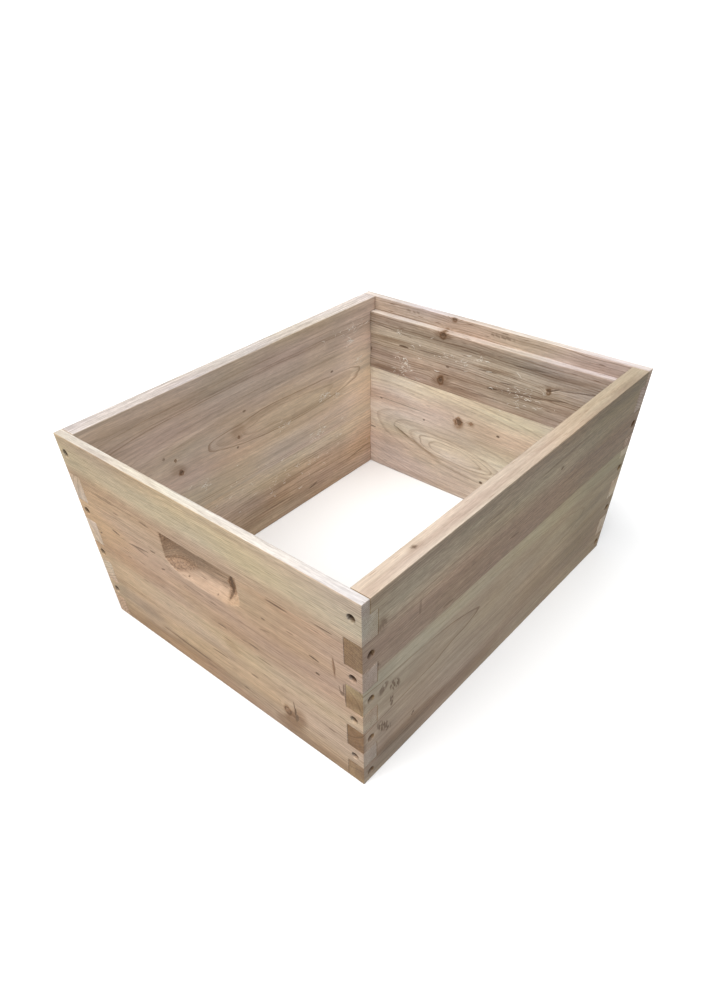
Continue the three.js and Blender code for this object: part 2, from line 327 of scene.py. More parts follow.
                (-94, 59, 50, 3.2, 0.7, -17), (-30, 41, 46, 2.4, 0.4, -6)],
            "knots": [(-25.5, 117, 4.2, 0.9), (-5.5, 120, 1.6, 0.0)],
        },
    },
    "right_upper": {
        # dark and pale are darker and greyer than this wood: painted shade for the side of the box away
        # from the key light. rim is far above 1 to take that painted shade off the upward edge, and cut
        # warms the end grain, which shows on the lit front.
        "dark": (0.267, 0.196, 0.142), "pale": (0.408, 0.329, 0.241),
        "bands": [(155, 0.42, 0.4), (159, 0.25, 0.1), (172, 0.18, 0.0), (192, 0.22, 0.05),
            (199, 0.48, 0.4), (206, 0.68, 0.6), (220, 0.6, 0.8), (232, 0.4, 0.8), (240, 0.32, 0.7),
            (244, 0.28, 0.6)],
        "pith": {"depth": 38, "height": 40, "slope": -0.02, "bow": 0.8, "turn": 60}, "flecked": 0.6,
        "gap": 2.8, "line": 0.55, "even": 0.25, "bold": [], "grain": 1.6, "warmth": 0.5,
        "cut": (0.86, 0.76, 0.58), "rim": (1.84, 1.92, 2.15), "far": (0.8, 0.79, 0.71), "edge": 0.7,
        "top": {
            "flecks": [(-172.4, 12.5, 3.4, 1.3, 1.0, 8)], "stains": [(-170, 12.5, 12, 4, 0.35, 0)],
        },
        "outer": {
            "shades": [(178, 200, 130, 120, -0.18, 0), (-150, 202, 120, 20, 0.14, 0),
                (190, 234, 80, 14, -0.12, 0), (-100, 194, 140, 9, 0.06, 0),
                (-60, 238, 190, 10, -0.06, 0), (60, 228, 50, 16, -0.07, 0)],
            "flecks": [(62.5, 209.5, 3, 1.6, 1.0, 0), (-60, 220, 20, 0.9, 0.6, 0),
                (-130, 161, 10, 0.9, 0.8, 0), (-18, 173, 10, 1.0, 0.8, -4), (70, 222, 60, 1.4, 0.5, 1),
                (-175, 188, 2, 8, 0.5, 0)],
            "hatches": [(-231, 160, 2.5, 8, 0.9, 20), (-226, 206, 6, 9, 0.6, 0),
                (-240, 209, 11, 3, 0.6, 8)],
            "stains": [(-238, 208, 20, 7, 0.45, 10)],
        },
    },
    "right_lower": {
        # As in the upper plank, dark and pale are painted shade: darker and greyer than this wood, for
        # the side of the box away from the key light; cut warms the end grain again.
        "dark": (0.286, 0.214, 0.158), "pale": (0.475, 0.387, 0.292),
        "bands": [(0, 0.42, 0.35), (14, 0.4, 0.25), (26, 0.3, 0.15), (38, 0.34, 0.15), (50, 0.44, 0.2),
            (70, 0.52, 0.35), (100, 0.6, 0.5), (128, 0.6, 0.5), (134, 0.66, 0.6), (137, 0.88, 0.85),
            (147, 0.96, 0.95), (155, 0.86, 0.85)],
        "pith": {"depth": 43, "height": 109, "slope": 0.06, "bow": 0.0, "turn": -79}, "flecked": 0.35,
        "gap": 4.3, "line": 0.26, "even": 0.15, "bold": [(43, 1.3), (57, 0.4), (66, 0.4)],
        "warmth": 0.5, "grain": 0.9, "cut": (0.88, 0.74, 0.56), "rim": (1.2, 1.2, 1.2),
        "far": (0.82, 0.8, 0.68),
        "outer": {
            "shades": [(196, 110, 110, 130, -0.2, 0), (-120, 112, 80, 20, 0.08, 0),
                (55, 114, 60, 14, -0.08, 0), (-205, 14, 80, 26, -0.27, 0), (-216, 62, 22, 60, -0.1, 0),
                (-236, 145, 36, 14, -0.16, 0)],
            "hatches": [(-207, 116, 11, 7.5, 1.0, -50), (-211, 98, 3.2, 11, 1.0, 0),
                (-222, 68, 19, 7, 1.0, -52), (-224, 125, 10, 6, 0.8, 40), (-174, 42, 4, 3.5, 1.0, 30)],
            "stains": [(-175, 30, 75, 11, 0.75, -2), (-100, 20, 90, 12, 0.5, -3)],
        },
        "end": {
            "stains": [(-252.5, 69, 4, 26, 0.72, 0), (-252.5, 104, 4, 9, 0.45, 0),
                (-252.5, 124, 4, 8, 0.5, 0)],
        },
    },
    "left_upper": {
        "dark": (0.448, 0.346, 0.264), "pale": (0.728, 0.582, 0.461),
        "bands": [(88, 0.66, 0.5), (97, 0.62, 0.65), (112, 0.8, 0.5), (130, 0.78, 0.35),
            (158, 0.7, 0.5), (185, 0.55, 0.4), (205, 0.42, 0.35), (225, 0.3, 0.4), (244, 0.22, 0.5)],
        "pith": {"depth": 52, "height": 156, "slope": 0.0, "bow": 2.6, "turn": 64}, "flecked": 0.4,
        "gap": 3.7, "line": 0.28, "even": 0.1, "grain": 0.7, "edge": 1.6,
        "bold": [(35.2, 0.4), (37.9, 0.75), (56, 0.35), (71.5, 0.6), (74, 0.4)],
        "cut": (0.97, 0.96, 0.91), "rim": (1.04, 1.16, 1.36),
        "outer": {
            "flecks": [(-140, 204, 20, 0.9, 0.7, 0), (30, 176, 12, 1, 0.8, 3),
                (160, 132, 8, 1, 0.9, 0)],
            "stains": [(90, 110, 70, 10, 0.4, -2)], "knots": [(88, 208, 5, 0.8), (-60, 138, 3, 0.6)],
        },
        "inner": {
            "flecks": [(-36, 140, 2, 1.4, 0.8, 0), (148, 173.5, 3, 1.3, 0.8, 0),
                (-17, 181, 3, 1.2, 0.7, 0), (-147, 173, 2, 1.6, 0.6, 0)],
            # The pale patch at the back end is painted light in the back left inner corner.
            "shades": [(-95, 134, 76, 50, -0.1, 0), (212, 160, 62, 150, 0.17, 0),
                (150, 101, 130, 18, 0.13, 0), (-60, 209, 90, 14, -0.06, 0), (122, 209, 40, 14, 0.09, 0),
                (20, 170, 100, 16, -0.06, 3), (-170, 226, 80, 14, 0.06, 0)],
            "stains": [(-131, 152, 13, 8, 0.5, -20), (-32, 160, 12, 12, 0.35, 20),
                (70, 187, 120, 4, 0.25, 4), (-60, 182, 90, 5, 0.22, 5), (20, 128, 140, 4, 0.22, -2)],
            "knots": [(-127.5, 147, 2.3, 0.9), (-132, 165, 1.2, 0.5), (-32, 152, 1.2, 0.3)],
        },
    },
    "left_lower": {
        "dark": (0.454, 0.328, 0.227), "pale": (0.702, 0.546, 0.403),
        "bands": [(0, 0.15, 0.2), (14, 0.24, 0.2), (28, 0.2, 0.15), (44, 0.32, 0.2), (56, 0.46, 0.3),
            (70, 0.76, 0.6), (80, 0.92, 0.75), (88, 0.8, 0.6)],
        "pith": {"depth": 48, "height": -34, "slope": 0.01, "bow": 1.8, "turn": -10}, "flecked": 0.6,
        "gap": 3.6, "line": 0.62, "even": 0.15, "bold": [(64, 0.5), (88, 0.6)],
        "cut": (0.97, 0.95, 0.91), "rim": (1.2, 1.2, 1.2),
        "outer": {
            "flecks": [(-70, 52, 18, 0.9, 0.8, 0), (120, 30, 10, 1, 0.8, 2)],
        },
        "inner": {
            "flecks": [(95, 20, 10, 1.2, 0.8, 10), (20, 26, 40, 0.8, 0.6, -2),
                (200, 30, 30, 1.0, 0.6, 6)],
            # The pale patch at the back end is painted light in the back left inner corner.
            "shades": [(10, 56, 76, 13, -0.17, 0), (-12, 34, 50, 11, -0.14, 0),
                (-38, 38, 50, 34, -0.13, 0), (0, 76, 150, 9, 0.08, 0), (76, 35, 40, 12, -0.1, 0),
                (-30, 15, 60, 8, -0.09, 0), (70, 16, 110, 11, -0.12, 0), (150, 78, 110, 14, 0.1, 0),
                (214, 60, 60, 90, 0.18, 0)],
            "stains": [(20, 34, 30, 9, 0.4, 0)],
        },
    },
}


def spot(along, height, middle_along, middle_height, half_length, half_height, tilt=0.0):
    """1 in the middle of an oval spot, falling to 0 at its rim."""
    turn = math.radians(tilt)
    right = along - middle_along
    up = height - middle_height
    main = (right * math.cos(turn) + up * math.sin(turn)) / half_length
    side = (up * math.cos(turn) - right * math.sin(turn)) / half_height
    return np.clip(1 - np.hypot(main, side), 0, 1)


def features(look, side, kind):
    return look.get(side, {}).get(kind, [])


def placed(board, look, local, kind, sides=("outer", "inner", "hold", "top", "end")):
    """Each feature of one kind: its side, the points on that side, their heights there, and its row."""
    for side in sides:
        rows = features(look, side, kind)
        if rows:
            here = on_side(board, local, side)
            level = local[:, 1 if side == "top" else 2]
            for row in rows:
                yield side, here, level, row


def in_hold(local):
    """Which points lie inside a hand hold."""
    level = (local[:, 2] < HOLD_TOP) & (local[:, 2] > HOLD_BOTTOM)
    return level & (abs(local[:, 0]) < HOLD_REACH) & (local[:, 1] > 0.4) & (local[:, 1] < LIP + 2)


def on_side(board, local, side):
    if side == "hold":
        return in_hold(local)
    if side == "end":
        return np.ones(len(local), bool)
    if side == "top":
        return local[:, 2] > CAD_HIGH.z / MM - 0.6
    inner = board.inner(local)
    return inner if side == "inner" else ~inner


def ring_distance(look, local, seed):
    """How far each point lay from the middle of the tree, in millimetres, which the figure follows."""
    pith = look["pith"]
    along, depth, height = local.T
    run = along - pith["turn"]
    middle = pith["depth"] + pith["slope"] * run + pith["bow"] * (run / 100) ** 2
    wander = 2.2 * noise(local, (150, 60, 46), seed) + 1.2 * noise(local, (52, 18, 13), seed + 5)
    wander += 0.35 * noise(local, (17, 9, 5), seed + 7)
    sway = 3.0 * noise(local, (210, 90, 300), seed + 9) + pith.get("rise", 0) * run
    return np.hypot(depth - middle, height - pith["height"] - sway) + wander


def bend_round_knots(board, look, local, rings):
    """Growth rings flow round each knot, so their distance rises near it."""
    for _, here, level, row in placed(board, look, local, "knots", ("outer", "inner")):
        along, height, radius, _ = row
        away = np.hypot((local[:, 0] - along) / 1.9, level - height) / radius
        rings += np.where(here, 2.6 * radius * np.exp(-((away / 1.7) ** 2)), 0)
    return rings


def knot_share(board, look, local):
    """0 away from knots, 0.5 on a knot's rim, 1 in its middle."""
    share = np.zeros(len(local))
    for _, here, level, (along, height, radius, _) in placed(board, look, local, "knots"):
        away = np.hypot(local[:, 0] - along, (level - height) * 0.9)
        away = away * (1 + 0.45 * noise(local, (radius, 9, radius), 61))
        share = np.maximum(share, np.where(here, np.clip(1 - away / (2 * radius), 0, 1), 0))
    return share


def mark_share(board, look, local):
    """How dark the flecks, hatches and knots make each point."""
    share = np.zeros(len(local))
    ragged = 1 + 0.5 * layered_noise(local, (5, 5, 0.9), 71)
    strokes = smooth(noise(local, (1.4, 9, 3.4), 79), -0.35, 0.2)
    for _, here, level, row in placed(board, look, local, "flecks"):
        along, height, length, width, strength, tilt = row
        inside = spot(local[:, 0], level, along, height, length * 1.1, width * 1.3, tilt)
        value = smooth(inside * ragged, 0.03, 0.28) * strength
        share = np.maximum(share, np.where(here, value, 0))
    for _, here, level, row in placed(board, look, local, "hatches"):
        along, height, length, width, strength, tilt = row
        inside = spot(local[:, 0], level, along, height, length, width, tilt)
        value = smooth(inside, 0.0, 0.35) * strokes * strength
        share = np.maximum(share, np.where(here, value, 0))
    for _, here, level, (along, height, radius, dark) in placed(board, look, local, "knots"):
        inside = spot(local[:, 0], level, along, height, radius * 1.9, radius * 1.6)
        blots = 0.75 * layered_noise(local, (radius * 0.8, 9, radius * 0.6), 73)
        value = smooth(inside + blots, 0.3, 0.75) * dark * (inside > 0)
        share = np.maximum(share, np.where(here, value, 0))
    return share


def stain_and_shadow_share(board, look, local):
    """How far brown marks, and the hand hold's painted shade, darken each point."""
    share = np.zeros(len(local))
    ragged = 1 + 0.45 * layered_noise(local, (26, 9, 5), 83)
    for side, here, level, row in placed(board, look, local, "stains"):
        along, height, length, width, strength, tilt = row
        inside = spot(local[:, 0], level, along, height, length * 1.25, width * 1.25, tilt)
        value = smooth(inside * ragged, 0.0, 0.42 if side == "hold" else 0.55) * strength
        share = np.maximum(share, np.where(here, value, 0))
    return share


def painted_light_and_tone_sum(board, look, local):
    """How much paler, or darker below 0, the broad shades make each point: partly the wood's tone,
    partly painted light and shade.
    """
    total = np.zeros(len(local))
    for _, here, level, row in placed(board, look, local, "shades"):
        along, height, length, width, amount, tilt = row
        inside = spot(local[:, 0], level, along, height, length, width, tilt)
        total += np.where(here, amount * smooth(inside, 0.0, 0.7), 0)
    return total


def band_values(look, local, seed):
    """Tone and hue at each point, from the plank's bands, which wander a little along it."""
    heights, tones, hues = np.array(look["bands"]).T
    wander = 3.2 * noise(local, (170, 40, 60), seed + 21) + 1.1 * noise(local, (48, 30, 12), seed + 22)
    height = local[:, 2] + wander
    mottle = 0.14 * layered_noise(local, (110, 30, 11), seed + 23)
    mottle += 0.10 * layered_noise(local, (38, 30, 16), seed + 28)
    patches = 0.42 * layered_noise(local, (90, 30, 30), seed + 26, 2)
    return np.interp(height, heights, tones) + mottle, np.interp(height, heights, hues) + patches


# --- Dense planks -------------------------------------------------------------------------------

def welded(mesh):
    """A CAD node's mesh in millimetres, with its split corners joined."""
    source = bmesh.new()
    source.from_mesh(mesh)
    source.transform(Matrix.Scale(1 / MM, 4))
    bmesh.ops.remove_doubles(source, verts=source.verts, dist=0.003)
    source.normal_update()
    return source


def flat_regions(source):
    """Each face's region, where a region is a group of touching faces in one plane, and its normal."""
    region = {}
    normals = []
    for face in source.faces:
        if face in region:
            continue
        number = len(normals)
        normals.append(face.normal.copy())
        region[face] = number
        queue = [face]
        while queue:
            for edge in queue.pop().edges:
                for other in edge.link_faces:
                    if other not in region and other.normal.dot(normals[number]) > 0.9998:
                        region[other] = number
                        queue.append(other)
    return region, normals


def edge_step(edge, angle):
    """How finely an edge is divided: bores' straight edges least, the hand hold's most."""
    if angle < CURVED_ANGLE:
        return HOLD_STEP
    length = edge.calc_length()
    if angle < SHARP_ANGLE and length > SHORT_EDGE:
        return HIDDEN_STEP
    return SHORT_STEP if length < SHORT_EDGE else EDGE_STEP


class Net:
    """The dense mesh of one plank while it is made: its points, faces and what each point lies on."""

    def __init__(self, board, look, source):
        self.board = board
        self.look = look
        self.points = []
        self.faces = []
        self.near = []
        self.sharp = []
        self.corner = {}
        self.region, self.normals = flat_regions(source)
        self.borders = [[] for _ in self.normals]
        self.curved = set()
        for edge in source.edges:
            self.divide(edge)

    def add(self, point):
        self.points.append(tuple(point))
        self.near.append(set())
        self.sharp.append(set())
        return len(self.points) - 1

    def corner_of(self, vertex):
        if vertex not in self.corner:
            self.corner[vertex] = self.add(vertex.co)
        return self.corner[vertex]

    def divide(self, edge):
        """Puts points along an edge between two regions, which both of them share."""
        sides = [self.region[face] for face in edge.link_faces]
        if sides[0] == sides[1]:
            return
        angle = edge.calc_face_angle()
        start, end = edge.verts
        count = math.ceil(edge.calc_length() / edge_step(edge, angle) - 1e-6)
        line = [self.corner_of(start)]
        line += [self.add(start.co.lerp(end.co, n / count)) for n in range(1, count)]
        line.append(self.corner_of(end))
        for side in sides:
            self.borders[side].append(line)
        if angle < CURVED_ANGLE:
            self.curved.update(sides)
        for point in line:
            self.near[point].update(sides)
            if angle > SHARP_ANGLE:
                self.sharp[point].update(sides if edge.is_convex else (-1,))

    def fill(self, number):
        """Covers one region with triangles whose corners are its border points and new inner points."""
        normal = self.normals[number]
        lines = self.borders[number]
        side = normal.orthogonal().normalized()
        axes = np.array([side, normal.cross(side)])
        ids = sorted({point for line in lines for point in line})
        places = np.array([self.points[point] for point in ids])
        level = float(np.dot(places[0], normal))
        flat = places @ axes.T
        index = {point: n for n, point in enumerate(ids)}
        pairs = [(index[a], index[b]) for line in lines for a, b in zip(line, line[1:])]
        ends = np.array([[flat[index[line[0]]], flat[index[line[-1]]]] for line in lines])
        inner = inner_points(self, number, ends, flat, pairs, axes, np.array(normal) * level)
        everything = np.vstack([flat, inner]) if len(inner) else flat
        made = delaunay_2d_cdt([Vector(p) for p in everything], pairs, [], 0, 1e-6, True)
        base = len(self.points)
        for point in inner @ axes + np.array(normal) * level if len(inner) else []:
            self.near[self.add(point)].add(number)
        known = np.array(ids + list(range(base, base + len(inner))))
        origin = np.array([sources[0] for sources in made[3]])
        faces = origin[np.array(made[2])]
        _, inside = edge_distance(everything[faces].mean(axis=1), ends)
        inside &= triangle_areas(everything[faces]) > SLIVER
        self.faces += known[faces[inside]].tolist()


def triangle_areas(corners):
    """The area of each triangle, given its three corners as flat coordinates."""
    first = corners[:, 1] - corners[:, 0]
    second = corners[:, 2] - corners[:, 0]
    return abs(first[:, 0] * second[:, 1] - first[:, 1] * second[:, 0]) / 2


def edge_distance(points, ends):
    """Each point's distance to the nearest of the border's straight edges, and whether it lies inside."""
    nearest = np.full(len(points), 1e9)
    inside = np.zeros(len(points), bool)
    for start, end in ends:
        span = end - start
        part = np.clip((points - start) @ span / (span @ span), 0, 1)
        away = points - start - part[:, None] * span
        nearest = np.minimum(nearest, np.einsum("ij,ij->i", away, away))
        if start[1] != end[1]:
            crosses = (start[1] > points[:, 1]) != (end[1] > points[:, 1])
            at = start[0] + (points[:, 1] - start[1]) / (end[1] - start[1]) * span[0]
            inside ^= crosses & (points[:, 0] < at)
    return np.sqrt(nearest), inside


def triangle_grid(low, high, step, rng):
    """Points in a loose triangular pattern over a rectangle."""
    across = np.arange(low[0] + step / 2, high[0], step)
    up = np.arange(low[1] + step / 2, high[1], step * 0.87)
    grid = np.stack(np.meshgrid(across, up), axis=-1)
    grid[1::2, :, 0] += step / 2
    grid = grid.reshape(-1, 2)
    return grid + rng.uniform(-0.16, 0.16, grid.shape) * step


def border_ring(flat, pairs):
    """Points just inside and outside the border, which hold the rounding of its edge."""
    starts, ends = (flat[[pair[n] for pair in pairs]] for n in (0, 1))
    span = ends - starts
    length = np.linalg.norm(span, axis=1)
    side = np.stack([-span[:, 1], span[:, 0]], axis=1) / length[:, None] * RING_INSET
    middle = (starts + ends) / 2
    return np.vstack([middle + side, middle - side])


def fine_zones(look):
    """Ovals round the flecks and knots, where the mesh is fine: side, along, height and half sizes."""
    zones = []
    for side in ("outer", "inner"):
        for kind in ("flecks", "hatches"):
            for along, height, length, width, _, tilt in features(look, side, kind):
                zones.append((side, along, height, length + 1.5, width + 1.6, tilt))
        for along, height, radius, _ in features(look, side, "knots"):
            zones.append((side, along, height, radius * 3, radius * 2.4, 0))
    return zones


def inner_points(net, number, ends, flat, pairs, axes, offset):
    """New points inside one region, as flat coordinates."""
    rng = np.random.default_rng(number + 1)
    low, high = flat.min(axis=0), flat.max(axis=0)
    size = high - low
    if size[0] * size[1] < SMALL_FACE:
        return np.zeros((0, 2))
    level = abs(net.normals[number].z) > 0.9
    heights = (flat @ axes + offset)[:, 2]
    seam = level and 1 < heights.mean() < LEDGE - 2
    step = HIDDEN_STEP if seam else HOLD_STEP if number in net.curved else FACE_STEP
    grid = triangle_grid(low, high, step, rng)
    broad = net.board.across == int(np.argmax(np.abs(net.normals[number]))) and size.min() > 40
    if broad:
        grid = refined(net, grid, axes, offset, rng)
    away, inside = edge_distance(grid, ends)
    grid = grid[inside & (away > min(step * 0.5, 2 * RING_INSET))]
    ring = border_ring(flat, pairs) if step != HOLD_STEP and not seam else np.zeros((0, 2))
    if len(ring):
        away, inside = edge_distance(ring, ends)
        ring = ring[inside & (away > RING_INSET * 0.85)]
    return np.vstack([grid, ring])


def refined(net, grid, axes, offset, rng):
    """A broad face's points, with the loose ones near its flecks and knots replaced by close ones."""
    for side, along, height, length, width, tilt in fine_zones(net.look):
        reach = math.hypot(length, width)
        local = net.board.local(grid @ axes + offset)
        if not on_side(net.board, local, side).all():
            continue
        middle = np.zeros(3)
        middle[net.board.along] = along
        middle[2] = height
        centre = axes @ (middle - offset)
        near = spot(local[:, 0], local[:, 2], along, height, length, width, tilt) > 0
        close = triangle_grid(centre - reach, centre + reach, FINE_STEP, rng)
        spread = net.board.local(close @ axes + offset)
        fine = spot(spread[:, 0], spread[:, 2], along, height, length, width, tilt) > 0
        grid = np.vstack([grid[~near], close[fine]])
    return grid


def screw_axes(board):
    """Along and height of every screw of this board, from its CAD nodes."""
    places = []
    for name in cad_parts:
        if name.startswith(f"screw_{board.name}_"):
            low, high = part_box(name)
            middle = (low + high) / 2 / MM
            places.append((middle[board.along], middle.z))
    return places


def round_bores(board, points, local):
    """Moves the bores' twelve-sided walls out to the true circle."""
    step = 2 * math.pi / BORE_SIDES
    for along, height in screw_axes(board):
        right = local[:, 0] - along
        up = local[:, 2] - height
        radius = np.hypot(right, up)
        angle = np.arctan2(right, up) % step
        grow = np.where(radius < COUNTERBORE * 1.005, np.cos(angle - step / 2) / math.cos(step / 2), 1)
        # The polygon's corners stay where they are, and the middles of its sides move out the most.
        points[:, board.along] += right * (grow - 1)
        points[:, 2] += up * (grow - 1)


def bore_shade_share(board, local):
    """Painted shade in the screws' holes: 0 outside them, rising to 1 a few millimetres in."""
    share = np.zeros(len(local))
    for along, height in screw_axes(board):
        near = np.hypot(local[:, 0] - along, local[:, 2] - height) < COUNTERBORE + 0.2
        share = np.where(near, smooth(local[:, 1], 0.8, 4.6), share)
    return share


def relief(board, local, normals, marks, knots, stains, curved):
    """How far the surface stands out, in millimetres: planing waves, grain, knots, dents, torn fibres."""
    waves = 0.030 * noise(local, (34, 20, 13), 31) + 0.012 * noise(local, (160, 20, 2.2), 33)
    rim = np.exp(-(((knots - 0.5) / 0.13) ** 2))
    core = smooth(knots, 0.5, 0.8)
    height = waves - 0.32 * marks + 0.16 * rim - 0.22 * core
    cut_across = 0.5 * smooth(np.abs(normals[:, board.along]), 0.12, 0.7)
    torn = np.maximum(cut_across, smooth(stains, 0.36, 0.66))
    rough = 0.32 * layered_noise(local, (2.8, 2.8, 2.1), 37) + 0.08 * noise(local, (1.7, 1.7, 1.7), 41)
    scored = 0.07 * noise(local, (9, 2, 1.4), 43)
    return np.where(curved, torn * rough + scored + 0.4 * height, height)


def wear(local, seam):
    """How far each sharp edge is rounded in, in millimetres, with a chip here and there."""
    even = EDGE_WEAR * (1 + 0.45 * layered_noise(local, (14, 14, 9), 47))
    chip = smooth(noise(local, (17, 17, 11), 53), 0.62, 0.95)
    rough = 1 + 0.5 * noise(local, (2.2, 2.2, 2.2), 59)
    glued = np.abs(local[:, 2] - seam) < 0.3
    by_hold = (local[:, 2] < HOLD_TOP) & (local[:, 2] > HOLD_BOTTOM - 1)
    by_hold &= abs(local[:, 0]) < HOLD_REACH
    chips = np.where(by_hold, CHIP / 10, CHIP) * chip * rough
    return (even + chips) * np.where(glued, SEAM_WEAR, 1)


def dense_plank(board, name):
    """The dense copy of one CAD plank, with its wood's figure as attributes of its points."""
    node = f"{name}_plank"
    look = LOOKS[name]
    seed = 100 + 10 * list(LOOKS).index(name)
    source = welded(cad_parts[node].data)
    net = Net(board, look, source)
    for number in range(len(net.normals)):
        net.fill(number)
    source.free()
    points = np.array(net.points)
    normals = np.array([np.array(n) for n in net.normals])
    local = board.local(points)
    outward = np.zeros_like(points)
    worn = np.zeros_like(points)
    for n, near in enumerate(net.near):
        outward[n] = sum(normals[r] for r in near)
        if net.sharp[n] and -1 not in net.sharp[n]:
            worn[n] = sum(normals[r] for r in net.sharp[n])
    sharp = np.array([bool(s) for s in net.sharp])
    curved = np.array([any(r in net.curved for r in near) for near in net.near])
    for vectors in (outward, worn):
        length = np.linalg.norm(vectors, axis=1, keepdims=True)
        np.divide(vectors, length, out=vectors, where=length > 0)
    rings = bend_round_knots(board, look, local, ring_distance(look, local, seed))
    marks = mark_share(board, look, local)
    knots = knot_share(board, look, local)
    round_bores(board, points, local)
    stains = stain_and_shadow_share(board, look, local)
    raised = relief(board, local, outward, marks, knots, stains, curved)
    points += np.where(sharp, 0, raised)[:, None] * outward
    low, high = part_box(node)
    seam = (low.z if name.endswith("upper") else high.z) / MM
    points -= wear(local, seam)[:, None] * worn
    tones, hues = band_values(look, local, seed)
    values = {
        "ring": rings,
        "lean": abs(local[:, 2] - look["pith"]["height"]) / rings,
        "tone": tones,
        "hue": hues,
        "mark": marks,
        "knot": knots,
        "stain": stains,
        "shade": painted_light_and_tone_sum(board, look, local),
        "torn": in_hold(local) * smooth(stains, 0.3, 0.6),
        "sawn": (local[:, 2] > CAD_HIGH.z / MM - 1.5) | (abs(local[:, 2] - LEDGE) < 1),
        "bore": bore_shade_share(board, local),
        "tip": abs(local[:, 0]) > 100,
    }
    return mesh_object(name, points * MM, net.faces, values)


def mesh_object(name, points, faces, values):
    """A smooth-shaded object from points in metres, faces and a number at each point."""
    mesh = bpy.data.meshes.new(name)
    mesh.from_pydata(points.tolist(), [], faces)
    for key, numbers in values.items():
        layer = mesh.attributes.new(key, "FLOAT", "POINT")
        layer.data.foreach_set("value", np.asarray(numbers, np.float32))
    mesh.shade_smooth()
    mesh.set_sharp_from_angle(angle=SMOOTH_ANGLE)
    return linked(name, mesh)


# --- Materials ----------------------------------------------------------------------------------

class Tree:
    """Builds a material's nodes by short calls, each of which gives back the socket that it makes."""

    def __init__(self, name):
        self.material = bpy.data.materials.new(name)
        self.material.use_nodes = True
        self.nodes = self.material.node_tree.nodes
        self.links = self.material.node_tree.links
        self.shader = self.nodes["Principled BSDF"]

    def put(self, socket, value):
        if isinstance(value, bpy.types.NodeSocket):
            self.links.new(value, socket)
        elif isinstance(value, tuple) and len(value) == 3 and socket.type == "RGBA":
            socket.default_value = (*value, 1)
        else:
            socket.default_value = value

    def feed(self, name, value):
        """Gives the surface's shader one of its inputs."""
        self.put(self.shader.inputs[name], value)

    def node(self, kind, inputs, **settings):
        made = self.nodes.new("ShaderNode" + kind)
        for key, value in settings.items():
            setattr(made, key, value)
        for key, value in inputs.items():
            self.put(made.inputs[key], value)
        return made

    def math(self, operation, *values):
        return self.node("Math", dict(enumerate(values)), operation=operation).outputs[0]

    def times(self, first, second):
        return self.math("MULTIPLY", first, second)

    def plus(self, first, second):
        return self.math("ADD", first, second)

    def less(self, first, second):
        return self.math("SUBTRACT", first, second)

    def fade(self, value, low, high, first=0.0, last=1.0):
        """first up to low, last from high on, and a smooth change between."""
        inputs = {"Value": value, "From Min": low, "From Max": high, "To Min": first, "To Max": last}
        return self.node("MapRange", inputs, interpolation_type="SMOOTHSTEP").outputs[0]

    def attribute(self, name):
        return self.node("Attribute", {}, attribute_name=name).outputs["Fac"]

    def place(self, along, lengths):
        """The object's own coordinates, divided by these lengths in millimetres along and across it."""
        scale = [1 / (lengths[1] * MM)] * 3
        scale[along] = 1 / (lengths[0] * MM)
        here = self.node("TexCoord", {}).outputs["Object"]
        return self.node("Mapping", {"Vector": here, "Scale": scale}).outputs[0]

    def far_share(self, along):
        """0 at the box's left or front end and 1 at its right or back end."""
        here = self.node("TexCoord", {}).outputs["Object"]
        way = self.node("SeparateXYZ", {0: here}).outputs[along]
        return self.node("MapRange", {"Value": way, "From Min": -0.2, "From Max": 0.2}).outputs[0]

    def noise(self, along, lengths, detail=2.0, roughness=0.5, distortion=0.0):
        """Noise whose bumps are about this long along the board and across it."""
        inputs = {"Vector": self.place(along, lengths), "Scale": 1.0, "Detail": detail}
        inputs |= {"Roughness": roughness, "Distortion": distortion}
        return self.node("TexNoise", inputs).outputs[0]

    def noise_along(self, value, scale, detail=1.0):
        """Noise that changes with one number only."""
        inputs = {"W": value, "Scale": scale, "Detail": detail}
        return self.node("TexNoise", inputs, noise_dimensions="1D").outputs[0]

    def mix(self, share, first, second, blend="MIX"):
        made = self.node("Mix", {}, data_type="RGBA", blend_type=blend)
        for index, value in ((0, share), (6, first), (7, second)):
            self.put(made.inputs[index], value)
        return made.outputs[2]

    def tinted(self, colour, tint, share=1.0):
        """A colour times another one, as far as share goes."""
        return self.mix(share, colour, tint, "MULTIPLY")

    def scaled(self, colour, amount):
        """A colour times a number."""
        return self.node("VectorMath", {0: colour, "Scale": amount}, operation="SCALE").outputs[0]

    def normal_part(self, axis):
        """How far the surface faces along one of the object's axes, from -1 to 1."""
        facing = self.node("TexCoord", {}).outputs["Normal"]
        return self.node("SeparateXYZ", {0: facing}).outputs[axis]

    def bump(self, height, distance, strength=1.0, under=None):
        made = self.node("Bump", {"Height": height, "Distance": distance, "Strength": strength})
        if under:
            self.put(made.inputs["Normal"], under)
        return made.outputs[0]


def growth_lines(tree, gap, even):
    """Latewood: each ring darkens slowly and stops sharply, some rings far more than others."""
    rings = tree.math("DIVIDE", tree.attribute("ring"), gap)
    phase = tree.math("FRACT", rings)
    rise = tree.fade(phase, 0.35, 0.93)
    fall = tree.fade(phase, 0.93, 1.0, 1.0, 0.0)
    strength = tree.noise_along(tree.math("FLOOR", rings), 0.73)
    chosen = tree.fade(strength, 0.38, 0.68, even, 1.0)
    return tree.times(tree.times(rise, fall), chosen)


